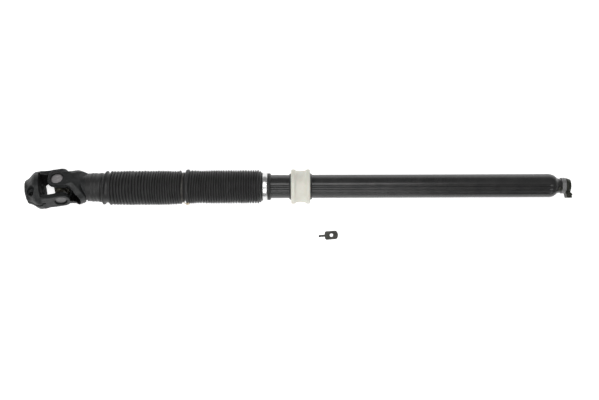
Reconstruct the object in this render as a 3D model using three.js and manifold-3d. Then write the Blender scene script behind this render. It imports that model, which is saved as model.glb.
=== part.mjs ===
// Telescopic steering shaft with one universal joint. Units are millimetres.
// +X runs along the shaft from the joint to the upper end and +Z is up as the shaft lies.
// The origin is on the shaft axis, halfway along the floor bearing collar.
import * as THREE from "three";
import { mergeVertices } from "three/addons/utils/BufferGeometryUtils.js";
import Module from "manifold-3d";

const wasm = await Module();
wasm.setup();

// ---------------------------------------------------------------- driving dimensions

const GAP = 0.3; // clearance between pieces that touch
const ROUND = 36; // facets round the large turned pieces
const SMALL_ROUND = 20; // facets round pins, cups and bores

// Outer profile tube, with three groups of three lengthwise grooves.
const TUBE_RADIUS = 19;
const TUBE_WALL = 2.6;
const TUBE_START = -110;
const TUBE_END = 414;
const TUBE_ROUNDING = [[405, 19.1], [409, 18.8], [412, 18.1], [TUBE_END, 17.3]];
const GROOVE_DEPTH = 1.2;
const GROOVE_HALF_ANGLE = 6;
const GROOVE_PITCH_ANGLE = 20;
const GROOVE_GROUPS = [-20, 100, -140]; // middle of each group, from +Z towards +Y

// Upper end: socket with a shoulder and a neck, face ring, pinch clamp and cross pin.
const SHOULDER = [[417, 15], [419, 13.4], [421, 12.4]];
const NECK_RADIUS = 11.8;
const NECK_END = 425.6;
const SLEEVE_RADIUS = 8.6;
const SLEEVE_END = 440.4;
const SOCKET_BORE = 7;
const PLUG_LENGTH = 14;
const PIN_X = 422.4;
const PIN_LEAN = 25; // the cross pin leans this far from +Z towards -Y
const FACE_RING_RADIUS = 13;
const FACE_RING_LENGTH = 7;
const CLAMP_RADIUS = 12.3;
const CLAMP_END = 441;
const CLAMP_SLOT = 1.8;
const EAR_BOTTOM = -20;
const EAR_THICKNESS = 5.6;
const CLAMP_BOLT_X = 438.9;
const CLAMP_BOLT_Y = -14.6;
const CLAMP_BOLT_RADIUS = 2.3;
const CLAMP_HEX_RADIUS = 4;

// Floor bearing collar, band clamp and rubber bellows.
const COLLAR_HALF = 18.4;
const COLLAR_BODY_HALF = 15.4;
const COLLAR_RIM_RADIUS = 28.6;
const COLLAR_WAIST_RADIUS = 25.8;
const COLLAR_LIP_RADIUS = 20.8;
const COLLAR_RIM_WIDTH = 7;
const BELLOWS_START = -348.2;
const BELLOWS_END = -48.6;
const BELLOWS_RADIUS = 28;
const BELLOWS_ROOT_RADIUS = 22.6;
const BELLOWS_WAIST = -191.5;
const CUFF_RADIUS = 23.4;
const BAND_START = -61.7;
const BAND_END = -54;
const BAND_RADIUS = 22.6;

// Inner shaft and its nylon coating.
const CORE_START = -346;
const CORE_END = 120;
const COATING_START = -104;
const COATING_THICKNESS = 1.2;
const RUNNING_GAP = 0.35;
const CORE_BORE = 9;

// Universal joint.
const JOINT_X = -393.3; // centre of the cross
const TRUNNION_TILT = 33.5; // the shaft yoke's trunnion axis leans this far from +Z to +Y
const REST_BEND = 9.9; // the clamp yoke is bent this far about that axis as it lies
const ARM_OUTER = 27.9;
const ARM_INNER = 19.6;
const BOSS_RADIUS = 14;
const BOSS_CORNER = 10;
const BOSS_INNER = 17.4;
const BOSS_INNER_RADIUS = 13.4;
const CUP_RADIUS = 9.7;
const CUP_FACE = 25.2;
const CUP_LENGTH = 12.6;
const CUP_WALL = 1.5;
const NEEDLE_RADIUS = 0.95;
const NEEDLE_COUNT = 10;
const TRUNNION_RADIUS = 5.75;
const YOKE_NECK_RADIUS = 20;
const YOKE_NECK_END = 63.3;
const THROAT_RADIUS = 20.6;
const SADDLE_CENTRE = 15.5; // middle of the round throat and of the saddle behind it
const SADDLE_RADIUS = 29.2;
const CLAMP_YOKE_BASE = 28.7;
const CLAMP_YOKE_END = 54;
const YOKE_BORE = 9;
const PINCH_BOLT_RADIUS = 4.1;
const PINCH_BOLT_U = 43;
const PINCH_BOLT_V = 13.8;
const PINCH_LUG_RADIUS = 6.2;
const PINCH_SLOT = 2.8;
const SPOT_FACE = 14.2; // height of the bolt's flat seats above the yoke's middle plane
const SPOT_FACE_RADIUS = 7.2;

// Loose lock plate, lying on the same surface as the shaft.
const SURFACE_Z = -31;
const PLATE_CENTRE = [51.5, -81.2];
const PLATE_TURN = 4; // the plate lies turned this far
const PLATE_LENGTH = 22.2;
const PLATE_WIDTH = 14.2;
const PLATE_THICKNESS = 2.2;
const PRONG_LENGTH = 10.4;
const PRONG_WIDTH = 3.4;
const PLATE_HOLE_RADIUS = 2.95;

// ---------------------------------------------------------------- solids and geometry

const X_AXIS = new THREE.Vector3(1, 0, 0);
const Y_AXIS = new THREE.Vector3(0, 1, 0);
const Z_AXIS = new THREE.Vector3(0, 0, 1);

// A closed three.js geometry as a solid that can be joined and cut.
function solid(geometry) {
  const bare = geometry.clone();
  for (const name of ["normal", "uv"]) {
    bare.deleteAttribute(name);
  }
  const merged = mergeVertices(bare, 1e-4);
  const source = merged.index.array;
  const triangles = [];
  for (let i = 0; i < source.length; i += 3) {
    const [a, b, c] = [source[i], source[i + 1], source[i + 2]];
    if (a !== b && b !== c && c !== a) {
      triangles.push(a, b, c);
    }
  }
  const mesh = new wasm.Mesh({
    numProp: 3,
    vertProperties: new Float32Array(merged.attributes.position.array),
    triVerts: new Uint32Array(triangles),
  });
  return new wasm.Manifold(mesh);
}

function geometryOf(body) {
  const mesh = body.getMesh();
  const geometry = new THREE.BufferGeometry();
  const positions = new Float32Array(mesh.vertProperties);
  geometry.setAttribute("position", new THREE.BufferAttribute(positions, 3));
  geometry.setIndex(new THREE.BufferAttribute(new Uint32Array(mesh.triVerts), 1));
  geometry.computeVertexNormals();
  return geometry;
}

function joined(...bodies) {
  return bodies.reduce((whole, body) => whole.add(body));
}

function cut(body, ...tools) {
  return tools.reduce((whole, tool) => whole.subtract(tool), body);
}

// A turned solid on the X axis from its outline, a list of [x, radius].
function turned(outline, facets = ROUND) {
  const points = outline.map(([x, radius]) => new THREE.Vector2(radius, x));
  if (outline[0][1] > 0) {
    points.push(points[0].clone());
  }
  const geometry = new THREE.LatheGeometry(points, facets);
  geometry.rotateZ(-Math.PI / 2);
  return outward(solid(geometry), geometry);
}

// The same solid, with its faces turned outward if the outline ran the other way round.
function outward(body, geometry) {
  if (body.volume() > 0) {
    return body;
  }
  const flipped = geometry.clone();
  const index = flipped.index.array;
  for (let i = 0; i < index.length; i += 3) {
    [index[i], index[i + 1]] = [index[i + 1], index[i]];
  }
  return solid(flipped);
}

function rod(radius, x0, x1, facets = SMALL_ROUND) {
  return turned([[x0, 0], [x0, radius], [x1, radius], [x1, 0]], facets);
}

// A ring with a rectangular section on the X axis.
function ring(inner, outer, x0, x1, facets = ROUND) {
  return turned([[x0, inner], [x0, outer], [x1, outer], [x1, inner]], facets);
}

// A shape drawn in the plane of two directions, extruded along the third from a to b.
function prism(shape, first, second, third, a, b, curveSegments = 8) {
  const options = { depth: b - a, bevelEnabled: false, curveSegments };
  const geometry = new THREE.ExtrudeGeometry(shape, options);
  geometry.translate(0, 0, a);
  geometry.applyMatrix4(new THREE.Matrix4().makeBasis(first, second, third));
  return solid(geometry);
}

function block(x0, x1, y0, y1, z0, z1) {
  const geometry = new THREE.BoxGeometry(x1 - x0, y1 - y0, z1 - z0);
  geometry.translate((x0 + x1) / 2, (y0 + y1) / 2, (z0 + z1) / 2);
  return solid(geometry);
}

function polygon(points) {
  return new THREE.Shape(points.map(([a, b]) => new THREE.Vector2(a, b)));
}

function moved(body, x, y, z) {
  return body.translate([x, y, z]);
}

// A solid made along +X, turned to lie along +Y or +Z.
function alongY(body) {
  return body.rotate([0, 0, 90]);
}

function alongZ(body) {
  return body.rotate([0, -90, 0]);
}

const radians = THREE.MathUtils.degToRad;

// ---------------------------------------------------------------- materials

function finish(color, roughness, metalness) {
  return new THREE.MeshStandardMaterial({ color, roughness, metalness });
}

const blackPaint = finish(0x1d1d1f, 0.42, 0.3);
const forgedBlack = finish(0x232324, 0.55, 0.35);
const machinedSteel = finish(0xb9bab8, 0.32, 0.9);
const cupSteel = finish(0x8d898c, 0.38, 0.85);
const crossSteel = finish(0x4c4b41, 0.5, 0.7);
const whiteNylon = finish(0xdcdbcf, 0.5, 0);
const beigeNylon = finish(0xb8a888, 0.55, 0);
const coatingNylon = finish(0x2c3530, 0.45, 0);
const blackRubber = finish(0x1b1b1c, 0.75, 0);
const darkBolt = finish(0x35352f, 0.45, 0.7);
const phosphatedSteel = finish(0x55564e, 0.6, 0.6);

const shaft = new THREE.Group();

function place(name, body, material, parent = shaft) {
  const mesh = new THREE.Mesh(geometryOf(body), material);
  mesh.name = name;
  parent.add(mesh);
}

// ---------------------------------------------------------------- profile tube and core

// Angles round the section, from +Z towards +Y, that draw each groove and each plain stretch.
function sectionAngles() {
  const angles = [];
  const steps = [-1, -0.6, -0.3, 0, 0.3, 0.6, 1];
  for (const centre of GROOVE_GROUPS) {
    for (const groove of [-1, 0, 1]) {
      const middle = centre + groove * GROOVE_PITCH_ANGLE;
      angles.push(...steps.map((step) => middle + step * GROOVE_HALF_ANGLE));
    }
    const plainStart = centre + GROOVE_PITCH_ANGLE + GROOVE_HALF_ANGLE;
    const plain = 120 - 2 * (GROOVE_PITCH_ANGLE + GROOVE_HALF_ANGLE);
    for (let i = 1; i < 9; i += 1) {
      angles.push(plainStart + (plain * i) / 9);
    }
  }
  return angles.map((angle) => (angle + 720) % 360).sort((a, b) => a - b);
}

function grooveDepth(angle) {
  let depth = 0;
  for (const centre of GROOVE_GROUPS) {
    for (const groove of [-1, 0, 1]) {
      const middle = centre + groove * GROOVE_PITCH_ANGLE;
      const away = Math.abs(((angle - middle + 540) % 360) - 180) / GROOVE_HALF_ANGLE;
      if (away < 1) {
        depth = (GROOVE_DEPTH * (1 + Math.cos(Math.PI * away))) / 2;
      }
    }
  }
  return depth;
}

// A bar with the grooved section of the given plain radius.
function profiledBar(radius, x0, x1) {
  const points = sectionAngles().map((angle) => {
    const r = radius - grooveDepth(angle);
    return [r * Math.sin(radians(angle)), r * Math.cos(radians(angle))];
  });
  return prism(polygon(points), Y_AXIS, Z_AXIS, X_AXIS, x0, x1);
}

const tubeInside = TUBE_RADIUS - TUBE_WALL;
const coatingOutside = tubeInside - RUNNING_GAP;
const coatingInside = coatingOutside - COATING_THICKNESS;

// The tube's far end is rounded off, and the grooves run out where it is.
place(
  "profile_tube",
  cut(
    profiledBar(TUBE_RADIUS, TUBE_START, TUBE_END).intersect(
      turned([
        [TUBE_START - 1, 0],
        [TUBE_START - 1, TUBE_RADIUS + 1],
        [TUBE_ROUNDING[0][0], TUBE_RADIUS + 1],
        ...TUBE_ROUNDING,
        [TUBE_END, 0],
      ]),
    ),
    profiledBar(tubeInside, TUBE_START - 1, TUBE_END + 1),
  ),
  blackPaint,
);

place(
  "spline_coating",
  cut(
    profiledBar(coatingOutside, COATING_START, CORE_END - 1),
    profiledBar(coatingInside, COATING_START - 1, CORE_END),
  ),
  coatingNylon,
);

place(
  "inner_shaft_core",
  cut(
    profiledBar(coatingInside - GAP, CORE_START, CORE_END),
    rod(CORE_BORE, CORE_START - 1, CORE_END + 1),
  ),
  blackPaint,
);

// ---------------------------------------------------------------- upper end

// Socket: a plug in the tube's end, a rounded shoulder, the neck and the clamped sleeve.
const plugRadius = tubeInside - GROOVE_DEPTH - GAP;
place(
  "upper_socket",
  cut(
    turned([
      [TUBE_END - PLUG_LENGTH, 0],
      [TUBE_END - PLUG_LENGTH, plugRadius],
      [TUBE_END + GAP, plugRadius],
      [TUBE_END + GAP, TUBE_ROUNDING.at(-1)[1] - 0.2],
      ...SHOULDER,
      [NECK_END - 2, NECK_RADIUS],
      [NECK_END, NECK_RADIUS],
      [NECK_END, SLEEVE_RADIUS],
      [SLEEVE_END, SLEEVE_RADIUS],
      [SLEEVE_END, 0],
    ]),
    rod(SOCKET_BORE, TUBE_END + 2, SLEEVE_END + 1),
    block(NECK_END + 2, SLEEVE_END + 1, -20, 0, -CLAMP_SLOT / 2, CLAMP_SLOT / 2),
    crossPin(2.8, 0),
  ),
  blackPaint,
);

// Cross pin through the neck, a little below the top.
function crossPin(radius, standOut) {
  const pin = alongZ(rod(radius, SOCKET_BORE + 1, NECK_RADIUS + 1 + standOut, 16));
  return moved(pin.rotate([PIN_LEAN, 0, 0]), PIN_X, 0, 0);
}
place("socket_pin", crossPin(2.4, -0.4), cupSteel);

const ringStart = NECK_END + GAP;
const ringEnd = ringStart + FACE_RING_LENGTH;
place(
  "face_ring",
  turned([
    [ringStart, SLEEVE_RADIUS + GAP],
    [ringStart, FACE_RING_RADIUS - 1],
    [ringStart + 0.8, FACE_RING_RADIUS],
    [ringEnd - 0.5, FACE_RING_RADIUS],
    [ringEnd, FACE_RING_RADIUS - 0.5],
    [ringEnd, SLEEVE_RADIUS + GAP],
  ]),
  machinedSteel,
);

// Pinch clamp: a split ring with a pair of ears that lean towards the end and are flat below.
const clampStart = ringEnd + GAP;
const earOutline = polygon([
  [clampStart, -SLEEVE_RADIUS - GAP],
  [clampStart, -12],
  [clampStart + 1.8, EAR_BOTTOM],
  [CLAMP_END + 1.5, EAR_BOTTOM],
  [CLAMP_END + 2.2, -18.4],
  [CLAMP_END - 0.8, -11.4],
  [CLAMP_END, -SLEEVE_RADIUS - GAP],
]);
const earHalf = CLAMP_SLOT / 2 + EAR_THICKNESS;
place(
  "upper_clamp",
  cut(
    joined(
      turned([
        [clampStart, 5],
        [clampStart, CLAMP_RADIUS],
        [clampStart + 2.8, CLAMP_RADIUS],
        [CLAMP_END - 0.7, CLAMP_RADIUS - 1.5],
        [CLAMP_END, CLAMP_RADIUS - 2.1],
        [CLAMP_END, 5],
      ]),
      prism(earOutline, X_AXIS, Y_AXIS, Z_AXIS, -earHalf, earHalf),
    ),
    rod(SLEEVE_RADIUS + GAP, clampStart - 1, CLAMP_END + 1, ROUND),
    block(clampStart - 4, CLAMP_END + 5, -25, 0, -CLAMP_SLOT / 2, CLAMP_SLOT / 2),
    moved(
      alongZ(rod(CLAMP_BOLT_RADIUS + GAP, -earHalf - 1, earHalf + 1)),
      CLAMP_BOLT_X,
      CLAMP_BOLT_Y,
      0,
    ),
  ),
  darkBolt,
);

// Pinch bolt with a hexagon head on top, and its nut below.
const headBase = earHalf + GAP;
place(
  "upper_clamp_bolt",
  moved(
    alongZ(
      joined(
        rod(CLAMP_BOLT_RADIUS, -headBase - 4.6, headBase + 1),
        turned([
          [headBase, 0],
          [headBase, CLAMP_HEX_RADIUS],
          [headBase + 2.6, CLAMP_HEX_RADIUS],
          [headBase + 3.2, CLAMP_HEX_RADIUS - 0.8],
          [headBase + 3.2, 0],
        ], 6),
      ),
    ),
    CLAMP_BOLT_X,
    CLAMP_BOLT_Y,
    0,
  ),
  darkBolt,
);
place(
  "upper_clamp_nut",
  moved(
    alongZ(
      cut(
        rod(CLAMP_HEX_RADIUS, -headBase - 3.4, -headBase, 6),
        rod(CLAMP_BOLT_RADIUS + GAP, -headBase - 5, -headBase + 1),
      ),
    ),
    CLAMP_BOLT_X,
    CLAMP_BOLT_Y,
    0,
  ),
  darkBolt,
);

// ---------------------------------------------------------------- collar, bellows and clips

// Spool-shaped collar: two rims with a hollow waist between them and a thin lip at each end.
const collarInside = TUBE_RADIUS + GAP;
const collarWaist = Array.from({ length: 7 }, (_, i) => {
  const x = -1 + (2 * i) / 6;
  const half = COLLAR_BODY_HALF - COLLAR_RIM_WIDTH;
  const rise = (COLLAR_RIM_RADIUS - COLLAR_WAIST_RADIUS) * x ** 4;
  return [x * half, COLLAR_WAIST_RADIUS + rise];
});
place(
  "floor_bearing_collar",
  turned([
    [-COLLAR_HALF, collarInside],
    [-COLLAR_HALF, COLLAR_LIP_RADIUS],
    [-COLLAR_BODY_HALF, COLLAR_LIP_RADIUS + 1],
    [-COLLAR_BODY_HALF, COLLAR_RIM_RADIUS - 1],
    [-COLLAR_BODY_HALF + 1, COLLAR_RIM_RADIUS],
    ...collarWaist,
    [COLLAR_BODY_HALF - 1, COLLAR_RIM_RADIUS],
    [COLLAR_BODY_HALF, COLLAR_RIM_RADIUS - 1],
    [COLLAR_BODY_HALF, COLLAR_LIP_RADIUS + 1],
    [COLLAR_HALF, COLLAR_LIP_RADIUS],
    [COLLAR_HALF, collarInside],
  ]),
  whiteNylon,
);

// Rubber bellows: the outer shape of its folds, hollow, with a cuff at each end and a tied waist.
const bandInside = BAND_RADIUS - 0.8;
place(
  "bellows",
  turned([
    [BELLOWS_START, YOKE_NECK_RADIUS + GAP],
    [BELLOWS_START, CUFF_RADIUS],
    [BELLOWS_START + 25, CUFF_RADIUS],
    [BELLOWS_START + 30, BELLOWS_RADIUS],
    [BELLOWS_WAIST - 6, BELLOWS_RADIUS],
    [BELLOWS_WAIST - 3.5, CUFF_RADIUS],
    [BELLOWS_WAIST + 3.5, CUFF_RADIUS],
    [BELLOWS_WAIST + 6, BELLOWS_RADIUS],
    [BAND_START - 5, BELLOWS_RADIUS],
    [BAND_START - 2, bandInside - GAP],
    [BAND_END + GAP, bandInside - GAP],
    [BAND_END + 0.6, BAND_RADIUS - 0.4],
    [BELLOWS_END, BAND_RADIUS - 0.4],
    [BELLOWS_END, TUBE_RADIUS + GAP],
    [BAND_START - 4, TUBE_RADIUS + GAP],
    [BAND_START - 8, BELLOWS_ROOT_RADIUS],
    [BELLOWS_WAIST + 9, BELLOWS_ROOT_RADIUS],
    [BELLOWS_WAIST + 4, YOKE_NECK_RADIUS + GAP],
    [BELLOWS_WAIST - 4, YOKE_NECK_RADIUS + GAP],
    [BELLOWS_WAIST - 9, BELLOWS_ROOT_RADIUS],
    [BELLOWS_START + 31, BELLOWS_ROOT_RADIUS],
    [BELLOWS_START + 26, YOKE_NECK_RADIUS + GAP],
  ]),
  blackRubber,
);

// Band clamp on the bellows' cuff, with its crimped ear underneath.
place(
  "band_clamp",
  joined(
    ring(bandInside, BAND_RADIUS, BAND_START, BAND_END),
    block(BAND_START + 0.6, BAND_END - 0.6, -4, 4, -BAND_RADIUS - 2.4, -BAND_RADIUS + 0.5),
  ),
  machinedSteel,
);

// Nylon tie round the waist, with its square head on the lower side.
place(
  "waist_tie",
  joined(
    ring(CUFF_RADIUS + GAP, CUFF_RADIUS + 1.5, BELLOWS_WAIST - 1.8, BELLOWS_WAIST + 1.8),
    block(
      BELLOWS_WAIST - 3,
      BELLOWS_WAIST + 3,
      -CUFF_RADIUS - 4.4,
      -CUFF_RADIUS - 1,
      -4,
      4,
    ),
  ),
  beigeNylon,
);

// ---------------------------------------------------------------- universal joint

// In each yoke's own frame the cross centre is the origin, +X points to the yoke's hub and
// the trunnions lie along Y.

// Outline of a yoke's arms seen along its trunnions: a squarish boss round the cup, then
// half widths at points along the arm.
function armOutline(halfWidths) {
  const inset = BOSS_RADIUS - BOSS_CORNER;
  const outline = new THREE.Shape();
  outline.absarc(-inset, inset, BOSS_CORNER, Math.PI / 2, Math.PI, false);
  outline.absarc(-inset, -inset, BOSS_CORNER, Math.PI, 1.5 * Math.PI, false);
  for (const [x, half] of halfWidths) {
    outline.lineTo(x, -half);
  }
  for (const [x, half] of [...halfWidths].reverse()) {
    outline.lineTo(x, half);
  }
  return outline;
}

function cupBores() {
  return alongY(rod(CUP_RADIUS + GAP, -ARM_OUTER - 2, ARM_OUTER + 2));
}

// Pads inside the arms that carry the inner half of each bearing cup.
function innerBosses() {
  const pad = rod(BOSS_INNER_RADIUS, BOSS_INNER, ARM_INNER + 1);
  return joined(alongY(pad), alongY(pad).rotate([0, 0, 180]));
}

// Two flat arms of the given outline, up to the given length, inside a turned envelope.
function armPair(outline, length, envelope) {
  const start = -BOSS_RADIUS - 1;
  return prism(outline, X_AXIS, Z_AXIS, Y_AXIS.clone().negate(), -ARM_OUTER, ARM_OUTER)
    .intersect(block(start, length, -32, 32, -32, 32))
    .intersect(turned([[start, 0], [start, 29.6], [-8, 31.4], ...envelope]));
}

// Shaft yoke: a fork whose base is a saddle round its throat, on a neck that holds the
// inner shaft.
function shaftYoke() {
  const side = (radius) => {
    const outline = new THREE.Shape();
    outline.absarc(SADDLE_CENTRE, 0, radius, -Math.PI / 2, Math.PI / 2, false);
    outline.lineTo(-BOSS_RADIUS - 2, radius);
    outline.lineTo(-BOSS_RADIUS - 2, -radius);
    return prism(outline, X_AXIS, Y_AXIS, Z_AXIS, -34, 34, 20);
  };
  const rib = block(0, 19, BOSS_INNER + 0.4, ARM_INNER + 2, -14.2, 14.2);
  const arms = armOutline([
    [8, 13.6],
    [16, 13.2],
    [22, 15],
    [27, 20],
    [31, 25],
    [35, 30],
    [YOKE_NECK_END, 30],
  ]);
  const fork = armPair(arms, 45, [
    [14, 31.4],
    [24, 29],
    [31, 28.2],
    [36, 26.6],
    [45, 23],
    [45, 0],
  ]).intersect(side(SADDLE_RADIUS));
  return cut(
    joined(
      cut(joined(fork, rod(YOKE_NECK_RADIUS, 24, YOKE_NECK_END, ROUND)), side(THROAT_RADIUS)),
      innerBosses(),
      rib,
      rib.rotate([180, 0, 0]),
    ),
    cupBores(),
    rod(coatingInside + 0.1, CORE_START - JOINT_X - 1, YOKE_NECK_END + 1, ROUND),
  );
}

// Clamp yoke: a fork on a bell-shaped hub, split on one side for its pinch bolt.
function clampYoke() {
  const pocket = new THREE.Shape();
  const fillet = 5;
  pocket.moveTo(-BOSS_RADIUS - 2, -ARM_INNER);
  pocket.lineTo(CLAMP_YOKE_BASE - fillet, -ARM_INNER);
  pocket.absarc(CLAMP_YOKE_BASE - fillet, -ARM_INNER + fillet, fillet, -Math.PI / 2, 0, false);
  pocket.absarc(CLAMP_YOKE_BASE - fillet, ARM_INNER - fillet, fillet, 0, Math.PI / 2, false);
  pocket.lineTo(-BOSS_RADIUS - 2, ARM_INNER);
  const arms = armOutline([
    [8, 13.8],
    [13, 13.4],
    [21, 13.6],
    [25, 15],
    [CLAMP_YOKE_BASE + 1, 17],
  ]);
  const blank = armPair(arms, CLAMP_YOKE_BASE + 0.5, [
    [CLAMP_YOKE_BASE + 1, 31.4],
    [CLAMP_YOKE_BASE + 1, 0],
  ]).subtract(prism(pocket, X_AXIS, Y_AXIS, Z_AXIS, -34, 34));
  const hub = turned([
    [CLAMP_YOKE_BASE, 0],
    [CLAMP_YOKE_BASE, 30.2],
    [CLAMP_YOKE_BASE + 1, 31],
    [35, 31],
    [38, 29.6],
    [41, 27.4],
    [44, 24.6],
    [47, 22.2],
    [50, 20.6],
    [CLAMP_YOKE_END - 1.4, 19.8],
    [CLAMP_YOKE_END, 18.4],
    [CLAMP_YOKE_END, 0],
  ]);
  const lug = pinchBoltTool(PINCH_LUG_RADIUS, -SPOT_FACE, SPOT_FACE);
  return cut(
    joined(blank, hub, lug, innerBosses()),
    cupBores(),
    rod(YOKE_BORE, CLAMP_YOKE_BASE - 2, CLAMP_YOKE_END + 2, ROUND),
    block(24, CLAMP_YOKE_END + 2, 4, 34, -PINCH_SLOT / 2, PINCH_SLOT / 2),
    pinchBoltTool(PINCH_BOLT_RADIUS, -30, 30),
    pinchBoltTool(SPOT_FACE_RADIUS, SPOT_FACE, 30),
    pinchBoltTool(SPOT_FACE_RADIUS, -30, -SPOT_FACE),
  );
}

function pinchBoltTool(radius, z0, z1) {
  return moved(alongZ(rod(radius, z0, z1)), PINCH_BOLT_U, PINCH_BOLT_V, 0);
}

// Bearing cup on +Y: a thin drawn cup, closed at its outer face.
function bearingCup() {
  const mouth = CUP_FACE - CUP_LENGTH;
  return alongY(
    turned([
      [mouth, CUP_RADIUS - CUP_WALL],
      [mouth, CUP_RADIUS],
      [CUP_FACE - 0.6, CUP_RADIUS],
      [CUP_FACE, CUP_RADIUS - 0.6],
      [CUP_FACE, 0],
      [CUP_FACE - CUP_WALL, 0],
      [CUP_FACE - CUP_WALL, CUP_RADIUS - CUP_WALL],
    ], SMALL_ROUND),
  );
}

// Needle bearing inside a cup: rollers round the trunnion, held by a thin cage at mid length.
function needleBearing() {
  const cupInside = CUP_RADIUS - CUP_WALL;
  const pitch = (cupInside + TRUNNION_RADIUS) / 2;
  const first = CUP_FACE - CUP_LENGTH + 0.6;
  const last = CUP_FACE - CUP_WALL - 0.6;
  const middle = (first + last) / 2;
  const cage = ring(pitch - 0.4, pitch + 0.4, middle - 1.5, middle + 1.5, NEEDLE_COUNT);
  const needles = Array.from({ length: NEEDLE_COUNT }, (_, i) => {
    const turn = (2 * Math.PI * (i + 0.5)) / NEEDLE_COUNT;
    const needle = rod(NEEDLE_RADIUS, first, last, 6);
    return moved(needle, 0, pitch * Math.cos(turn), pitch * Math.sin(turn));
  });
  return alongY(joined(cage, ...needles));
}

// Cross with four trunnions in the plane of its first two axes, and a domed middle.
function crossSpider() {
  const arm = turned([
    [0, 0],
    [0, 10.4],
    [7, 9.6],
    [10.2, 8.2],
    [10.2, TRUNNION_RADIUS],
    [CUP_FACE - CUP_WALL - 1, TRUNNION_RADIUS],
    [CUP_FACE - CUP_WALL - 0.4, TRUNNION_RADIUS - 0.6],
    [CUP_FACE - CUP_WALL - 0.4, 0],
  ], SMALL_ROUND);
  const arms = [0, 90, 180, 270].map((turn) => arm.rotate([0, 0, turn]));
  return joined(...arms);
}

// Rubber seal between the cross and a cup's mouth, on +Y.
function trunnionSeal() {
  const mouth = CUP_FACE - CUP_LENGTH;
  return alongY(ring(TRUNNION_RADIUS + GAP, 8.8, 10.2 + GAP, mouth - GAP, SMALL_ROUND));
}

// Directions of the joint in the shaft's frame.
const lean = radians(TRUNNION_TILT);
const bend = radians(REST_BEND);
const shaftTrunnion = new THREE.Vector3(0, Math.sin(lean), Math.cos(lean));
const flatTrunnion = new THREE.Vector3(0, -Math.cos(lean), Math.sin(lean));
const clampTrunnion = flatTrunnion.clone().applyAxisAngle(shaftTrunnion, bend);
const clampHub = X_AXIS.clone().negate().applyAxisAngle(shaftTrunnion, bend);

// A group at the cross centre whose X and Y axes are the given directions.
function jointGroup(x, y) {
  const group = new THREE.Group();
  const basis = new THREE.Matrix4().makeBasis(x, y, x.clone().cross(y));
  group.quaternion.setFromRotationMatrix(basis);
  group.position.set(JOINT_X, 0, 0);
  shaft.add(group);
  return group;
}

const shaftSide = jointGroup(X_AXIS, shaftTrunnion);
const clampSide = jointGroup(clampHub, clampTrunnion);
const crossFrame = jointGroup(clampTrunnion, shaftTrunnion);

place("shaft_yoke", shaftYoke(), forgedBlack, shaftSide);
place("clamp_yoke", clampYoke(), forgedBlack, clampSide);
place("cross_spider", crossSpider(), crossSteel, crossFrame);

// The shaft yoke holds cups 1 and 2, the clamp yoke holds cups 3 and 4.
for (const [side, numbers] of [[shaftSide, [1, 2]], [clampSide, [3, 4]]]) {
  for (const number of numbers) {
    const turn = number % 2 === 1 ? 0 : 180;
    place(`bearing_cup_${number}`, bearingCup().rotate([0, 0, turn]), cupSteel, side);
    const needles = needleBearing().rotate([0, 0, turn]);
    place(`needle_bearing_${number}`, needles, machinedSteel, side);
  }
}
for (const number of [1, 2, 3, 4]) {
  const seal = trunnionSeal().rotate([0, 0, 90 * (number - 1)]);
  place(`trunnion_seal_${number}`, seal, blackRubber, crossFrame);
}

// ---------------------------------------------------------------- lock plate

// Flat plate with a round end, a screw hole, two clipped corners and a narrow prong.
function lockPlate() {
  const end = PLATE_LENGTH / 2;
  const half = PLATE_WIDTH / 2;
  const clip = 2;
  const roundEnd = 4.6;
  const outline = new THREE.Shape();
  outline.moveTo(-end - PRONG_LENGTH, -PRONG_WIDTH / 2);
  outline.lineTo(-end, -PRONG_WIDTH / 2);
  outline.lineTo(-end, -half + clip);
  outline.lineTo(-end + clip, -half);
  outline.absellipse(end - roundEnd, 0, roundEnd, half, -Math.PI / 2, Math.PI / 2);
  outline.lineTo(-end + clip, half);
  outline.lineTo(-end, half - clip);
  outline.lineTo(-end, PRONG_WIDTH / 2);
  outline.lineTo(-end - PRONG_LENGTH, PRONG_WIDTH / 2);
  const plate = cut(
    prism(outline, X_AXIS, Y_AXIS, Z_AXIS, SURFACE_Z, SURFACE_Z + PLATE_THICKNESS),
    alongZ(rod(PLATE_HOLE_RADIUS, SURFACE_Z - 1, SURFACE_Z + PLATE_THICKNESS + 1)),
  );
  return moved(plate.rotate([0, 0, PLATE_TURN]), PLATE_CENTRE[0], PLATE_CENTRE[1], 0);
}
place("lock_plate", lockPlate(), phosphatedSteel);

export default shaft;
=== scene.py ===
"""Looks of a telescopic steering shaft with a universal joint, built round its CAD frame.

The shaft lies along X with its upper end at +X, and +Z points up from the floor. Outlines and
sizes are in millimetres, and MM turns them into Blender's metres."""

import math

import bmesh
import bpy
from mathutils import Matrix, Vector, noise


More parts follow.
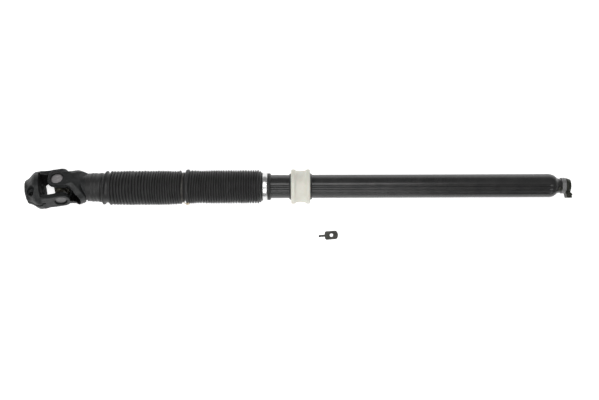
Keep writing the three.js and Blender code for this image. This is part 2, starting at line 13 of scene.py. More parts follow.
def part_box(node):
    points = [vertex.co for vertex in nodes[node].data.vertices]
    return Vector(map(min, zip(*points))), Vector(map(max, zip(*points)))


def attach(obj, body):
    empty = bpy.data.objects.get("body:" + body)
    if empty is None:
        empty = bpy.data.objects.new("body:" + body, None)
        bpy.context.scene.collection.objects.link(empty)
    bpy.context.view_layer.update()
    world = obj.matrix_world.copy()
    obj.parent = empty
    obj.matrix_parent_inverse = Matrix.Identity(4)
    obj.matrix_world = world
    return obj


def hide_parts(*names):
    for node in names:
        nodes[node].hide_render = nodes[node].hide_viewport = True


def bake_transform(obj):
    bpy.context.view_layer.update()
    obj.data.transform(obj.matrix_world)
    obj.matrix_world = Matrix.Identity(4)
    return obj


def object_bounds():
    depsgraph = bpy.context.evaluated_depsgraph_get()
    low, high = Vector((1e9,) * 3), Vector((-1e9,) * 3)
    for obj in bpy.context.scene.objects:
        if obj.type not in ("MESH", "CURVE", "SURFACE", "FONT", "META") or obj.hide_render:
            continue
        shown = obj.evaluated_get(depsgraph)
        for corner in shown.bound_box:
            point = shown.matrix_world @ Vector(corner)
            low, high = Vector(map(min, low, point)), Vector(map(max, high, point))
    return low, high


MM = 0.001

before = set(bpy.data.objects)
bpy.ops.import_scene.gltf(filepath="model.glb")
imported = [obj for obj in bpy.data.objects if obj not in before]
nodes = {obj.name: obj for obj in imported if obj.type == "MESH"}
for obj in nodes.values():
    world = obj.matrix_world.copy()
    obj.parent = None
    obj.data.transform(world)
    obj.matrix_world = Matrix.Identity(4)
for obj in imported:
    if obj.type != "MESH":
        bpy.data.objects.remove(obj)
cad_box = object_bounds()

# ---------------------------------------------------------------- materials


class Surface:
    """A procedural material, built up from noises in the object's own coordinates."""

    def __init__(self, name, rough, metallic=0.0, **sockets):
        self.material = bpy.data.materials.new(name)
        self.material.use_nodes = True
        self.tree = self.material.node_tree
        self.shader = self.tree.nodes["Principled BSDF"]
        self.shader.inputs["Metallic"].default_value = metallic
        self.shader.inputs["Roughness"].default_value = rough
        for socket, value in sockets.items():
            self.shader.inputs[socket.replace("_", " ")].default_value = value
        self.coordinates = self.node("ShaderNodeTexCoord").outputs["Object"]

    def node(self, kind, **values):
        node = self.tree.nodes.new(kind)
        for key, value in values.items():
            setattr(node, key, value)
        return node

    def link(self, source, target):
        self.tree.links.new(source, target)

    def noise(self, scale, detail=4.0, stretch=(1, 1, 1), distortion=0.0):
        mapping = self.node("ShaderNodeMapping")
        mapping.inputs["Scale"].default_value = stretch
        self.link(self.coordinates, mapping.inputs["Vector"])
        texture = self.node("ShaderNodeTexNoise")
        texture.inputs["Scale"].default_value = scale
        texture.inputs["Detail"].default_value = detail
        texture.inputs["Distortion"].default_value = distortion
        self.link(mapping.outputs["Vector"], texture.inputs["Vector"])
        return texture.outputs["Fac"]

    def ramp(self, factor, *stops):
        node = self.node("ShaderNodeValToRGB")
        elements = node.color_ramp.elements
        while len(elements) < len(stops):
            elements.new(0.5)
        for element, (position, color) in zip(elements, stops):
            element.position = position
            element.color = (*color, 1)
        self.link(factor, node.inputs["Fac"])
        return node.outputs["Color"]

    def spread(self, factor, low, high, start=0.3, end=0.7):
        node = self.node("ShaderNodeMapRange")
        for socket, value in (
            ("From Min", start),
            ("From Max", end),
            ("To Min", low),
            ("To Max", high),
        ):
            node.inputs[socket].default_value = value
        self.link(factor, node.inputs["Value"])
        return node.outputs["Result"]

    def blend(self, factor, first, second):
        node = self.node("ShaderNodeMix", data_type="RGBA")
        self.link(factor, node.inputs["Factor"])
        for socket, value in ((node.inputs["A"], first), (node.inputs["B"], second)):
            if isinstance(value, tuple):
                socket.default_value = (*value, 1)
            else:
                self.link(value, socket)
        return node.outputs["Result"]

    def color(self, source):
        self.link(source, self.shader.inputs["Base Color"])

    def roughness(self, source):
        self.link(source, self.shader.inputs["Roughness"])

    def bump(self, *layers):
        """Bumps from (height, strength, distance in metres), one on top of another."""
        below = None
        for height, strength, distance in layers:
            node = self.node("ShaderNodeBump")
            node.inputs["Strength"].default_value = strength
            node.inputs["Distance"].default_value = distance
            self.link(height, node.inputs["Height"])
            if below:
                self.link(below, node.inputs["Normal"])
            below = node.outputs["Normal"]
        self.link(below, self.shader.inputs["Normal"])


def grey(value):
    return (value, value, value)


def mottled(name, dark, light, rough, metallic=0.0, scale=90, grain=900, **options):
    """Worn metal, rubber or nylon: broad mottling, fine grain and scattered specks."""
    stretch = options.pop("stretch", (1, 1, 1))
    specks = options.pop("specks", None)
    broad_bump = options.pop("broad_bump", 0.10)
    fine_bump = options.pop("fine_bump", 0.12)
    surface = Surface(name, sum(rough) / 2, metallic, **options)
    broad = surface.noise(scale, 5, stretch, 0.4)
    fine = surface.noise(grain, 3, stretch)
    tone = surface.ramp(broad, (0.32, dark), (0.68, light))
    if specks:
        amount, speck_color, speck_scale = specks
        spots = surface.noise(speck_scale, 2)
        mask = surface.spread(spots, 0, 1, 1 - amount, 1 - amount + 0.06)
        tone = surface.blend(mask, tone, speck_color)
    surface.color(tone)
    surface.roughness(surface.spread(fine, *rough))
    surface.bump((broad, broad_bump, 0.3 * MM), (fine, fine_bump, 0.05 * MM))
    return surface.material


black_paint = mottled(
    "black_paint", grey(0.016), grey(0.026), (0.22, 0.34), 0.0, 60, 1400,
    specks=(0.26, grey(0.045), 420), broad_bump=0.05, fine_bump=0.06,
    Specular_IOR_Level=0.36, Coat_Weight=0.10, Coat_Roughness=0.2,
)
forged_black = mottled(
    "forged_black", (0.0075, 0.0085, 0.0085), (0.015, 0.016, 0.0165), (0.40, 0.56), 0.0, 110, 700,
    specks=(0.30, (0.040, 0.038, 0.038), 260), broad_bump=0.35, fine_bump=0.25,
    Specular_IOR_Level=0.31, Coat_Weight=0.08, Coat_Roughness=0.35,
)
# Painted shade: a near-black for the yokes' inside faces, where shade falls between their arms.
painted_shade_black = mottled(
    "painted_shade_black", grey(0.0012), grey(0.003), (0.6, 0.75), 0.0, 140, 800,
    specks=(0.27, grey(0.008), 300), broad_bump=0.3, Specular_IOR_Level=0.06,
)
machined_steel = mottled(
    "machined_steel", grey(0.56), grey(0.68), (0.26, 0.38), 1.0, 160, 900,
    stretch=(9, 1, 1), specks=(0.28, grey(0.40), 500), broad_bump=0.06, fine_bump=0.10,
)
turned_steel = mottled(
    "turned_steel", grey(0.15), grey(0.26), (0.40, 0.54), 0.55, 160, 900,
    stretch=(9, 1, 1), specks=(0.28, grey(0.22), 500), broad_bump=0.06, fine_bump=0.10,
)
# Lit and shaded copies of one cup face finish: this brighter copy paints the light on the shaft
# yoke's cups.
painted_light_cup_steel = mottled(
    "painted_light_cup_steel", (0.40, 0.384, 0.388), (0.56, 0.54, 0.546), (0.34, 0.46), 0.9, 240, 1200,
    specks=(0.27, grey(0.20), 700), fine_bump=0.08,
)
# The darker copy paints shade on the clamp yoke's cups.
painted_shade_cup_steel = mottled(
    "painted_shade_cup_steel", (0.105, 0.104, 0.104), (0.17, 0.168, 0.169), (0.36, 0.48), 0.9, 240, 1200,
    specks=(0.27, grey(0.09), 700), fine_bump=0.08,
)
cup_side_steel = mottled(
    "cup_side_steel", (0.055, 0.052, 0.036), (0.12, 0.115, 0.085), (0.28, 0.42), 0.8, 150, 900,
    stretch=(1, 1, 1), specks=(0.28, (0.22, 0.21, 0.16), 500),
)
cross_steel = mottled(
    "cross_steel", (0.045, 0.043, 0.032), (0.10, 0.097, 0.07), (0.34, 0.52), 0.7, 130, 800,
    specks=(0.27, (0.19, 0.18, 0.13), 420), broad_bump=0.25,
)
white_nylon = mottled(
    "white_nylon", (0.63, 0.62, 0.545), (0.70, 0.69, 0.615), (0.40, 0.52), 0.0, 70, 900,
    specks=(0.22, (0.60, 0.585, 0.50), 320), broad_bump=0.06, fine_bump=0.08,
    Subsurface_Weight=0.08, Subsurface_Scale=0.002,
)
beige_nylon = mottled(
    "beige_nylon", (0.42, 0.345, 0.235), (0.56, 0.47, 0.34), (0.42, 0.56), 0.0, 220, 1500,
    specks=(0.25, (0.33, 0.27, 0.18), 600),
)
stained_nylon = mottled(
    "stained_nylon", (0.016, 0.015, 0.013), (0.040, 0.036, 0.029), (0.45, 0.60), 0.0, 220, 1500,
    specks=(0.24, (0.30, 0.25, 0.17), 130),
)
coating_nylon = mottled(
    "coating_nylon", (0.022, 0.034, 0.026), (0.036, 0.052, 0.041), (0.34, 0.48), 0.0, 80, 1100,
    specks=(0.27, (0.10, 0.115, 0.10), 500),
)
black_rubber = mottled(
    "black_rubber", grey(0.012), grey(0.023), (0.42, 0.56), 0.0, 75, 1300,
    specks=(0.28, (0.048, 0.047, 0.045), 380), broad_bump=0.12, fine_bump=0.16,
    Specular_IOR_Level=0.36, Sheen_Weight=0.05, Sheen_Roughness=0.45,
)
seal_rubber = mottled(
    "seal_rubber", (0.030, 0.025, 0.019), (0.052, 0.045, 0.035), (0.45, 0.62), 0.0, 180, 1300,
    specks=(0.27, (0.10, 0.09, 0.07), 500),
)
dark_steel = mottled(
    "dark_steel", (0.032, 0.034, 0.028), (0.066, 0.068, 0.058), (0.32, 0.48), 0.8, 170, 900,
    specks=(0.28, (0.15, 0.15, 0.13), 450), broad_bump=0.15,
)
phosphated_steel = mottled(
    "phosphated_steel", (0.026, 0.026, 0.022), (0.066, 0.065, 0.058), (0.46, 0.62), 0.6, 200, 900,
    specks=(0.30, (0.17, 0.167, 0.153), 520), broad_bump=0.18,
)
needle_steel = mottled(
    "needle_steel", grey(0.50), grey(0.62), (0.20, 0.30), 1.0, 200, 1200,
    specks=(0.25, grey(0.36), 600),
)

# ---------------------------------------------------------------- meshes


def new_piece(name, vertices, faces, materials):
    """A smooth-shaded mesh object; materials is one material or a list of them."""
    mesh = bpy.data.meshes.new(name)
    mesh.from_pydata(vertices, [], faces)
    mesh.validate()
    piece = bpy.data.objects.new(name, mesh)
    bpy.context.scene.collection.objects.link(piece)
    for material in materials if isinstance(materials, (list, tuple)) else [materials]:
        mesh.materials.append(material)
    fix_normals(mesh)
    mesh.polygons.foreach_set("use_smooth", [True] * len(mesh.polygons))
    return piece


def fix_normals(mesh):
    work = bmesh.new()
    work.from_mesh(mesh)
    bmesh.ops.recalc_face_normals(work, faces=work.faces)
    work.to_mesh(mesh)
    work.free()


def place(piece, body, node):
    """The piece moves with a body and stands for a CAD node, which it hides."""
    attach(piece, body)
    if node:
        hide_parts(node)
    return piece


def lathe(name, outline, material, facets=96, shape=None, to_world=None, side=None):
    """A turned piece about the X axis from its outline in mm, a list of (x, radius).

    An outline that starts and ends off the axis is closed into a ring. shape moves a point
    (x, radius, angle) to (x, y, z) in mm, and side picks a face's material from its middle."""
    closed = outline[0][1] > 0
    vertices = []
    faces = []
    rows = []
    for x, radius in outline:
        if radius <= 0:
            rows.append([len(vertices)])
            vertices.append((x, 0.0, 0.0))
            continue
        rows.append(list(range(len(vertices), len(vertices) + facets)))
        for i in range(facets):
            angle = 2 * math.pi * i / facets
            if shape:
                vertices.append(shape(x, radius, angle))
            else:
                vertices.append((x, radius * math.sin(angle), radius * math.cos(angle)))
    pairs = list(zip(rows, rows[1:]))
    if closed:
        pairs.append((rows[-1], rows[0]))
    for first, second in pairs:
        for i in range(facets):
            j = (i + 1) % facets
            if len(first) == 1 and len(second) == 1:
                continue
            if len(first) == 1:
                faces.append((first[0], second[i], second[j]))
            elif len(second) == 1:
                faces.append((first[i], second[0], first[j]))
            else:
                faces.append((first[i], second[i], second[j], first[j]))
    matrix = to_world or Matrix.Identity(4)
    points = [(matrix @ Vector(v)) * MM for v in vertices]
    piece = new_piece(name, points, faces, material)
    if side:
        inverse = matrix.inverted()
        for face in piece.data.polygons:
            face.material_index = side(inverse @ (face.center / MM))
    return piece


def rounded(points, radius=0.5, steps=3):
    """An outline with its corners rounded: each inner point becomes a short curve."""
    result = [points[0]]
    for before, corner, after in zip(points, points[1:], points[2:]):
        p, q, r = Vector(before), Vector(corner), Vector(after)
        first = (p - q).normalized() * min(radius, (p - q).length * 0.45)
        last = (r - q).normalized() * min(radius, (r - q).length * 0.45)
        for step in range(steps + 1):
            t = step / steps
            curve = q + first * (1 - t) ** 2 + last * t**2
            result.append((curve.x, curve.y))
    result.append(points[-1])
    return result


def forged_copy(name, node, material, voxel=0.6, smoothing=5, swell=None):
    """A copy of a CAD solid with its edges softened like a forging's."""
    mesh = nodes[node].data.copy()
    mesh.materials.clear()
    mesh.materials.append(material)
    piece = bpy.data.objects.new(name, mesh)
    bpy.context.scene.collection.objects.link(piece)
    remesh = piece.modifiers.new("even", "REMESH")
    remesh.mode = "VOXEL"
    remesh.voxel_size = voxel * MM
    remesh.use_smooth_shade = True
    smooth = piece.modifiers.new("soften", "SMOOTH")
    smooth.factor = 0.5
    smooth.iterations = smoothing
    settle(piece)
    if swell:
        vertices = piece.data.vertices
        points = [vertex.co.copy() for vertex in vertices]
        normals = [vertex.normal.copy() for vertex in vertices]
        moved = [p + swell(p, n) for p, n in zip(points, normals)]
        vertices.foreach_set("co", [value for point in moved for value in point])
        piece.data.update()
    return piece


def settle(piece):
    """Turns a piece's modifiers into its mesh."""
    bpy.context.view_layer.update()
    graph = bpy.context.evaluated_depsgraph_get()
    result = bpy.data.meshes.new_from_object(piece.evaluated_get(graph), depsgraph=graph)
    piece.modifiers.clear()
    old = piece.data
    piece.data = result
    bpy.data.meshes.remove(old)
    result.polygons.foreach_set("use_smooth", [True] * len(result.polygons))


def smooth_shading_nodes():
    """A node group that shades a mesh smooth without touching the mesh itself."""
    group = bpy.data.node_groups.new("smooth_shading", "GeometryNodeTree")
    group.interface.new_socket("Geometry", in_out="INPUT", socket_type="NodeSocketGeometry")
    group.interface.new_socket("Geometry", in_out="OUTPUT", socket_type="NodeSocketGeometry")
    start = group.nodes.new("NodeGroupInput")
    smooth = group.nodes.new("GeometryNodeSetShadeSmooth")
    end = group.nodes.new("NodeGroupOutput")
    group.links.new(start.outputs[0], smooth.inputs["Geometry"])
    group.links.new(smooth.outputs["Geometry"], end.inputs[0])
    return group


SMOOTH_SHADING = smooth_shading_nodes()


def shaded_smooth(piece):
    piece.modifiers.new("smooth_shading", "NODES").node_group = SMOOTH_SHADING


def bevelled(piece, width):
    """Rounds a piece's sharp edges and keeps its flat faces flat."""
    shaded_smooth(piece)
    bevel = piece.modifiers.new("rounded_edges", "BEVEL")
    bevel.width = width * MM
    bevel.segments = 3
    bevel.limit_method = "ANGLE"
    bevel.angle_limit = math.radians(32)
    bevel.harden_normals = False
    normals = piece.modifiers.new("even_shading", "WEIGHTED_NORMAL")
    normals.keep_sharp = False


def dress(node, material):
    """Gives its material to a CAD node that keeps its own shape."""
    for slot in nodes[node].material_slots:
        slot.material = material


# ---------------------------------------------------------------- profile tube

TUBE_RADIUS = 19.0
TUBE_INSIDE = 16.4
TUBE_START = -110.0
TUBE_END = 414.0
END_CURVE_START = 400.0
GROOVE_HALF_ANGLE = 7.2
GROOVE_DEPTH = 1.7
INNER_GROOVE_DEPTH = 1.2
GROOVE_RIM_HEIGHT = 0.10
GROOVE_RIM_WIDTH = 0.35  # of the half angle
GROOVE_END = 409.5
GROOVE_FADE = 5.0
GROOVES = [group + step for group in (-20, 100, -140) for step in (-20, 0, 20)]


def groove(angle, depth):
    """Depth of the section's grooves at an angle in degrees from +Z towards +Y."""
    for middle in GROOVES:
        away = abs((angle - middle + 540) % 360 - 180) / GROOVE_HALF_ANGLE
        if away < 1:
            return depth * (0.5 + 0.5 * math.cos(math.pi * away)) ** 0.62
        if away < 1 + GROOVE_RIM_WIDTH:
            return -GROOVE_RIM_HEIGHT * math.sin(math.pi * (away - 1) / GROOVE_RIM_WIDTH)
    return 0.0


def tube_section(x, radius, angle):
    """Presses the grooves into the tube's outside and inside, and ends them before its end."""
    degrees = math.degrees(angle)
    if radius > TUBE_INSIDE + 0.9:
        fade = max(0.0, min(1.0, (GROOVE_END - x) / GROOVE_FADE))
        fade = fade * fade * (3 - 2 * fade)
        radius -= groove(degrees, GROOVE_DEPTH) * fade
    else:
        radius -= groove(degrees, INNER_GROOVE_DEPTH)
    return (x, radius * math.sin(angle), radius * math.cos(angle))


end_curve = [
    (END_CURVE_START, TUBE_RADIUS), (402.5, 19.02), (404.5, 19.05), (406, 19.05), (407.5, 19.0),
    (409, 18.82), (410.5, 18.5), (412, 18.05), (413.2, 17.7), (TUBE_END, 17.3),
]
STATIONS = 60
spacing = (END_CURVE_START - 2 - TUBE_START) / STATIONS
stations = [TUBE_START + 0.4] + [TUBE_START + 1 + i * spacing for i in range(STATIONS + 1)]
tube_outline = (
    [(TUBE_START, TUBE_INSIDE), (TUBE_START, 18.7)]
    + [(x, TUBE_RADIUS) for x in stations]
    + end_curve
    + [(TUBE_END, TUBE_INSIDE), (395, TUBE_INSIDE), (150, TUBE_INSIDE)]
)
tube = lathe("grooved_tube", tube_outline, black_paint, 432, tube_section)
place(tube, "outer_tube", "profile_tube")

# ---------------------------------------------------------------- upper end

PIN_X = 422.4
PIN_TURN = math.radians(25)

shoulder = lathe(
    "upper_socket_shell",
    rounded(
        [
            (400, 0), (400, 14.8), (413.6, 14.8), (414.4, 17.1), (416, 15.9), (417.6, 14.4),
            (419.2, 13.2), (421, 12.3), (423.4, 11.8), (425.6, 11.7), (425.6, 8.6), (440.4, 8.6),
            (440.4, 7.4), (440, 7), (416.2, 7), (416.2, 0),
        ],
        0.5,
    ),
    black_paint,
    120,
)
place(shoulder, "outer_tube", "upper_socket")

pin_matrix = Matrix.Translation((PIN_X, 0, 0)) @ Matrix.Rotation(PIN_TURN, 4, "X")
pin_matrix = pin_matrix @ Matrix.Rotation(-math.pi / 2, 4, "Y")
pin = lathe(
    "socket_pin_head",
    rounded(
        [(9.2, 0), (9.2, 2.4), (12.1, 2.4), (12.5, 3.6), (13.3, 3.6), (13.9, 2.4), (14.1, 0)], 0.4
    ),
    dark_steel,
    40,
    to_world=pin_matrix,
)
place(pin, "outer_tube", "socket_pin")

ring = lathe(
    "turned_face_ring",
    rounded(
        [
            (425.9, 8.9), (425.9, 12.2), (426.5, 13.0), (428.4, 13.0), (428.7, 12.6), (429.1, 12.6),
            (429.4, 13.0), (432.3, 13.0), (432.9, 12.4), (432.9, 8.9), (427, 8.9),
        ],
        0.25,
    ),
    turned_steel,
    120,
)
place(ring, "outer_tube", "face_ring")

for node in ("upper_clamp", "upper_clamp_bolt", "upper_clamp_nut"):
    dress(node, dark_steel)
    bevelled(nodes[node], 0.5 if node == "upper_clamp" else 0.35)

# ---------------------------------------------------------------- floor bearing collar

collar = lathe(
    "spool_collar",
    rounded(
        [
            (-18.4, 19.3), (-18.4, 20.8), (-15.6, 21.8), (-15.4, 27.4), (-14.3, 28.6), (-10.4, 28.6),
            (-9.4, 28.3), (-8.2, 26.9), (-6.0, 26.1), (-2.5, 25.85), (0, 25.8), (2.5, 25.85),
            (6.0, 26.1), (8.2, 26.9), (9.4, 28.3), (10.4, 28.6), (14.3, 28.6), (15.4, 27.4),
            (15.6, 21.8), (18.4, 20.8), (18.4, 19.3), (0, 19.3),
        ],
        0.9,
        4,
    ),
    [white_nylon, black_rubber],
    144,
    side=lambda p: 1 if abs(p.x) > 15.9 else 0,
)
place(collar, "outer_tube", "floor_bearing_collar")

# ---------------------------------------------------------------- bellows and waist tie

CUFF_START = -348.2
FOLDS_START = -311.5
WAIST = -191.8
BAND_START = -61.7
BAND_END = -54.0
LOOSE_PITCH = 5.0
TIGHT_PITCH = 4.0
UPPER_PITCH = 4.02
LOOSE_DEPTH = 4.6
TIGHT_DEPTH = 3.9
FOLD_STEPS = 8
SAG = 1.25


def wobble(i, size):
    """A small uneven step in height from fold to fold."""
    return size * math.sin(i * 2.399 + 0.7) * math.cos(i * 1.17)


def fold(x, pitch, top, depth):
    """One fold: a rounded ridge, then a narrow groove."""
    points = []
    for step in range(FOLD_STEPS):
        t = step / FOLD_STEPS
        height = abs(math.sin(math.pi * t)) ** 0.66
        points.append((x + t * pitch, top - depth * (1 - height)))
    return points


def bellows_outline():
    """The cuff, the lower folds, the waist, the upper folds, the banded cuff, then the inside."""
    outline = [
        (CUFF_START, 20.3), (CUFF_START, 22.0), (CUFF_START + 0.6, 22.7), (-345, 22.8),
        (-341.5, 22.9), (-340.6, 23.5), (-339, 23.6), (-337.6, 23.2), (-337, 22.9), (-336, 23.4),
        (-333.6, 23.6), (-332.3, 23.3), (-331.6, 22.9), (-330.8, 23.3), (-327.5, 23.8),
        (-325.4, 24.1), (-324.4, 23.7), (-323.6, 22.0), (-322.6, 21.6), (-321.6, 23.2),
        (-320.6, 25.8), (-319.4, 27.4), (-318.2, 27.6), (-317.2, 26.4), (-316.2, 24.6),
        (-315.0, 24.0), (-313.2, 24.2),
    ]
    x = FOLDS_START
    count = 0
    while x < WAIST - 6.4:
        loose = x < -250
        pitch = LOOSE_PITCH if loose else TIGHT_PITCH
        top = 27.9 + wobble(count, 0.30) + (0.3 if -300 < x < -215 else -0.2)
        outline += fold(x, pitch, top, LOOSE_DEPTH if loose else TIGHT_DEPTH)
        x += pitch
        count += 1
    outline += [
        (x, 24.6), (x + 0.7, 23.7), (WAIST - 2.6, 22.9), (WAIST, 22.7), (WAIST + 2.6, 22.9),
        (WAIST + 3.6, 23.6), (WAIST + 4.6, 25.4), (WAIST + 5.4, 27.6), (WAIST + 6.4, 28.6),
        (WAIST + 8.2, 28.9), (WAIST + 9.8, 28.3), (WAIST + 10.8, 26.6), (WAIST + 11.4, 24.6),
    ]
    x = WAIST + 11.8
    while x < BAND_START - 8.2:
        top = 27.5 + wobble(count, 0.22)
        if x < -150:
            top -= 0.6 * (1 - abs(x + 164) / 16) if abs(x + 164) < 16 else 0
        outline += fold(x, UPPER_PITCH, top, TIGHT_DEPTH)
        x += UPPER_PITCH
        count += 1
    outline += [
        (x, 24.0), (x + 0.8, 25.4), (x + 1.8, 25.8), (x + 2.8, 25.0), (x + 3.4, 23.4),
        (x + 4.0, 23.0), (x + 4.8, 23.4), (BAND_START - 1.4, 23.2), (BAND_START - 0.6, 22.0),
        (BAND_START, 21.4), (BAND_END, 21.4), (BAND_END + 0.5, 22.1), (-50.4, 22.1),
        (-49.2, 21.4), (-48.6, 20.2), (-48.6, 19.4), (BAND_START - 5, 19.4),
        (BAND_START - 9, 22.4), (WAIST + 10, 22.4), (WAIST + 4, 21.2), (WAIST - 4, 21.2),
        (WAIST - 9, 22.4), (-316, 22.2), (-321.6, 20.4), (CUFF_START + 0.5, 20.3),
    ]
    return outline


def bellows_shape(x, radius, angle):
    """Tilts the rings next to the cuff and the waist, and lets the long section sag a little."""
    y = radius * math.sin(angle)
    z = radius * math.cos(angle)
    depth = radius / 28
    tilt = 0.105 * math.exp(-(((x + 319) / 11) ** 2))
    tilt += 0.075 * math.exp(-(((x + 168) / 14) ** 2)) - 0.03 * math.exp(-(((x + 205) / 9) ** 2))
    tilt += 0.012 * math.sin(x * 0.21) + 0.008 * math.sin(x * 0.083 + 1)
    if x > BAND_START - 8 or x < -340:
        tilt = 0
    wave = 0.28 * math.sin(3 * angle + x * 0.19) * math.sin(x * 0.05) if -330 < x < -70 else 0
    droop = 0.0
    if -335 < x < WAIST:
        droop = SAG * min(1, (x + 335) / 25) * min(1, (WAIST - x) / 12)
    return (x + tilt * y * depth + wave, y - droop, z - 0.3 * droop)


def stretched(piece):
    """Bakes the piece's placement into its mesh."""
    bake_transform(piece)


bellows = lathe("rubber_bellows", bellows_outline(), black_rubber, 128, bellows_shape)
stretched(bellows)
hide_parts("bellows")


def box_piece(name, size, material, matrix, bevel=0.4):
    """A small block with rounded edges, for straps' heads and ears."""
    mesh = bpy.data.meshes.new(name)
    work = bmesh.new()
    bmesh.ops.create_cube(work, size=1)
    bmesh.ops.scale(work, vec=Vector(size), verts=work.verts)
    bmesh.ops.bevel(
        work, geom=list(work.edges), offset=bevel, segments=3, profile=0.5, affect="EDGES"
    )
    bmesh.ops.transform(work, matrix=matrix, verts=work.verts)
    bmesh.ops.scale(work, vec=Vector((MM, MM, MM)), verts=work.verts)
    work.to_mesh(mesh)
    work.free()
    mesh.materials.append(material)
    mesh.polygons.foreach_set("use_smooth", [True] * len(mesh.polygons))
    piece = bpy.data.objects.new(name, mesh)
    bpy.context.scene.collection.objects.link(piece)
    return piece


# A flat strap round the waist, with its head below and a short cut tail.
strap = lathe(
    "tie_strap",
    rounded(
        [
            (WAIST - 1.7, 23.5), (WAIST - 1.7, 24.6), (WAIST + 1.7, 24.6), (WAIST + 1.7, 23.5),
            (WAIST, 23.5),
        ],
        0.3,
    ),
    stained_nylon,
    96,
    lambda x, r, a: (x + 0.9 * math.sin(a), r * math.sin(a) - 0.6, r * math.cos(a)),
)
tie_head = box_piece(
    "tie_head",
    (5.2, 3.2, 4.6),
    beige_nylon,
    Matrix.Translation((WAIST + 8.0, -27.6, 9.0)) @ Matrix.Rotation(math.radians(14), 4, "Z"),
)
tie_tail = box_piece(
    "tie_tail",
    (6.0, 1.2, 2.8),
    beige_nylon,
    Matrix.Translation((WAIST + 3.4, -26.4, 8.0)) @ Matrix.Rotation(math.radians(-24), 4, "Z"),
)
for piece in (strap, tie_head, tie_tail):
    stretched(piece)
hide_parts("waist_tie")

# ---------------------------------------------------------------- band clamp

band = lathe(
    "cuff_band",
    rounded(
        [
            (BAND_START, 21.7), (BAND_START, 22.7), (BAND_START + 0.9, 22.95),
            (BAND_START + 1.5, 22.6), (BAND_END - 1.5, 22.6), (BAND_END - 0.9, 22.95),
            (BAND_END, 22.7), (BAND_END, 21.7), (BAND_START + 1, 21.7),
        ],
        0.2,
    ),
    machined_steel,
    128,
)
place(band, "outer_tube", "band_clamp")
band_ear = box_piece(
    "cuff_band_ear",
    (6.2, 8.0, 2.2),
    machined_steel,
    Matrix.Translation(((BAND_START + BAND_END) / 2, 0, -23.7)),
    0.6,
)
place(band_ear, "outer_tube", None)

# ---------------------------------------------------------------- universal joint

JOINT_X = -393.3
SADDLE_CENTRE = 15.5  # along the shaft yoke, from the joint's centre
THROAT_RADIUS = 20.9
ARM_GAP = 19.8  # from the yokes' middle planes to their arms
BOSS_RADIUS = 14.0
BOSS_FACE = 16.0
POCKET_START = 10.0
POCKET_END = 29.2
lean = math.radians(33.5)
shaft_trunnion = Vector((0, math.sin(lean), math.cos(lean)))
flat_trunnion = Vector((0, -math.cos(lean), math.sin(lean)))
bend = Matrix.Rotation(math.radians(9.9), 3, shaft_trunnion)
clamp_trunnion = bend @ flat_trunnion
clamp_hub = bend @ Vector((-1, 0, 0))


def frame_at_joint(x_axis, y_axis):
    """Places a piece's own X and Y axes along two directions, from the joint's centre."""
    z_axis = x_axis.cross(y_axis)
    matrix = Matrix((x_axis, y_axis, z_axis)).transposed().to_4x4()
    return Matrix.Translation((JOINT_X, 0, 0)) @ matrix


def pitted(point, normal):
    """Low, broad hammer and scale marks of a forging."""
    size = noise.noise(point * 160) * 0.22 + noise.noise(point * 420) * 0.07
    return normal * size * MM


def paint_inside_shade(piece, inverse, inside):
    """Paints a yoke's inside faces near-black: painted shade where shade falls between its arms."""
    piece.data.materials.append(painted_shade_black)
    for face in piece.data.polygons:
        if inside(inverse @ (face.center / MM)):
            face.material_index = 1


def in_throat(p):
    """Between the shaft yoke's arms, and not on their round inner bosses."""
    if p.x < SADDLE_CENTRE:
        off_boss = abs(p.y) < BOSS_FACE or math.hypot(p.x, p.z) > BOSS_RADIUS
        return abs(p.y) < ARM_GAP and off_boss
    return math.hypot(p.x - SADDLE_CENTRE, p.y) < THROAT_RADIUS


def in_pocket(p):
    """Between the clamp yoke's arms, near its hub."""
    return POCKET_START < p.x < POCKET_END and abs(p.y) < ARM_GAP


# The yokes' inside faces get painted shade: near-black where shade falls between their arms.
shaft_yoke = forged_copy("shaft_yoke_forging", "shaft_yoke", forged_black, 0.6, 6, pitted)
paint_inside_shade(shaft_yoke, frame_at_joint(Vector((1, 0, 0)), shaft_trunnion).inverted(), in_throat)
place(shaft_yoke, "inner_shaft", "shaft_yoke")
clamp_yoke = forged_copy("clamp_yoke_forging", "clamp_yoke", forged_black, 0.6, 6, pitted)
paint_inside_shade(clamp_yoke, frame_at_joint(clamp_hub, clamp_trunnion).inverted(), in_pocket)
place(clamp_yoke, "clamp_yoke", "clamp_yoke")
cross = forged_copy("cross_forging", "cross_spider", cross_steel, 0.5, 3)
place(cross, "cross", "cross_spider")

CUP_FACE = 25.2
CUP_RADIUS = 9.7
cup_shell = rounded(
    [
        (12.6, 8.2), (12.6, 9.3), (13.2, CUP_RADIUS), (CUP_FACE - 1.0, CUP_RADIUS),
        (CUP_FACE - 0.1, 9.0), (CUP_FACE + 0.15, 7.6), (CUP_FACE + 0.35, 4.0),
        (CUP_FACE + 0.1, 2.2), (CUP_FACE + 0.1, 0),
    ],
    0.35,
)
cup_outline = [(CUP_FACE - 1.5, 0), (CUP_FACE - 1.5, 8.2)] + cup_shell
for number, axis, body in (
    (1, shaft_trunnion, "inner_shaft"),
    (2, -shaft_trunnion, "inner_shaft"),
    (3, clamp_trunnion, "clamp_yoke"),
    (4, -clamp_trunnion, "clamp_yoke"),
):
    other = clamp_hub if body == "clamp_yoke" else Vector((1, 0, 0))
    matrix = frame_at_joint(axis, other)
    # Cup faces take the painted-light copy on the shaft yoke and the painted-shade copy on the clamp
    # yoke.
    cup = lathe(
        f"drawn_cup_{number}",
        cup_outline,
        [cup_side_steel, painted_shade_cup_steel if body == "clamp_yoke" else painted_light_cup_steel],
        72,
        to_world=matrix,
        side=lambda p: 1 if p.x > CUP_FACE - 0.9 else 0,
    )
    place(cup, body, f"bearing_cup_{number}")
    dress(f"needle_bearing_{number}", needle_steel)
    shaded_smooth(nodes[f"needle_bearing_{number}"])

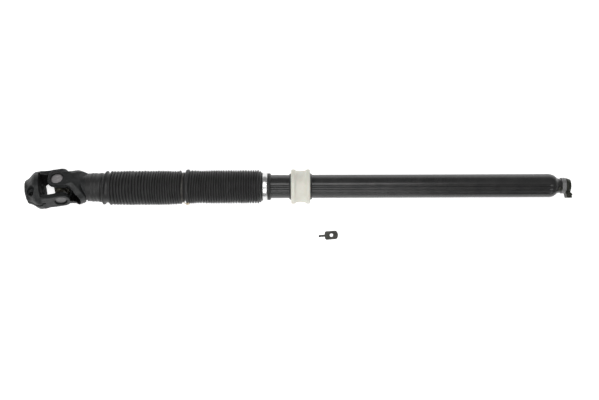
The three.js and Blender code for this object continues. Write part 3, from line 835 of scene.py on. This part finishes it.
seal_outline = rounded(
    [
        (10.5, 6.05), (10.5, 8.2), (10.9, 8.8), (11.3, 8.5), (11.6, 8.8), (12.0, 8.8), (12.3, 8.3),
        (12.3, 6.05), (11, 6.05),
    ],
    0.2,
)
for number in (1, 2, 3, 4):
    node = f"trunnion_seal_{number}"
    low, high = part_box(node)
    outward = ((low + high) / 2 - Vector((JOINT_X * MM, 0, 0))).normalized()
    across = (Vector((1, 0, 0)) - outward * outward.x).normalized()
    seal = lathe(
        f"lipped_seal_{number}", seal_outline, seal_rubber, 64,
        to_world=frame_at_joint(outward, across),
    )
    place(seal, "cross", node)

dress("inner_shaft_core", black_paint)
dress("spline_coating", coating_nylon)

# ---------------------------------------------------------------- lock plate

dress("lock_plate", phosphated_steel)
bevelled(nodes["lock_plate"], 0.2)

# ---------------------------------------------------------------- floor, light and camera

FLOOR_SIZE = 8
bpy.ops.mesh.primitive_plane_add(size=FLOOR_SIZE, location=(0, 0, cad_box[0][2]))
floor = bpy.context.object
floor.name = "floor"
floor_material = Surface("floor_white", 0.9)
floor_tone = floor_material.ramp(
    floor_material.noise(3, 3), (0.3, grey(0.86)), (0.7, grey(0.90))
)
floor_material.color(floor_tone)
floor_material.link(floor_tone, floor_material.shader.inputs["Emission Color"])
floor_material.shader.inputs["Emission Strength"].default_value = 0.75
floor.data.materials.append(floor_material.material)

world = bpy.context.scene.world or bpy.data.worlds.new("studio")
bpy.context.scene.world = world
world.use_nodes = True
background = world.node_tree.nodes["Background"]
background.inputs["Color"].default_value = (1, 1, 1, 1)
background.inputs["Strength"].default_value = 0.24

# Name, place, power in watts and size of each soft light.
LIGHTS = (
    ("front_softbox", (0.0, -1.0, 1.4), 11.5, 0.9),
    ("top_softbox", (0.0, 0.5, 1.7), 12.5, 0.8),
    ("left_softbox", (-1.3, -0.2, 1.0), 5, 1.0),
)
for name, position, power, size in LIGHTS:
    light = bpy.data.lights.new(name, "AREA")
    light.energy = power
    light.size = size
    lamp = bpy.data.objects.new(name, light)
    bpy.context.scene.collection.objects.link(lamp)
    lamp.location = position
    lamp.rotation_euler = (-Vector(position)).to_track_quat("-Z", "Y").to_euler()

LENS = 48.08
SENSOR_WIDTH = 36
EYE = (-0.0018, -0.022, 1.312)
ROLL = math.radians(-0.2)
camera_data = bpy.data.cameras.new("camera")
camera_data.lens = LENS
camera_data.sensor_width = SENSOR_WIDTH
camera = bpy.data.objects.new("camera", camera_data)
bpy.context.scene.collection.objects.link(camera)
camera.location = EYE
camera.rotation_euler = (0, 0, ROLL)
bpy.context.scene.camera = camera
bpy.context.scene.view_settings.view_transform = "Standard"
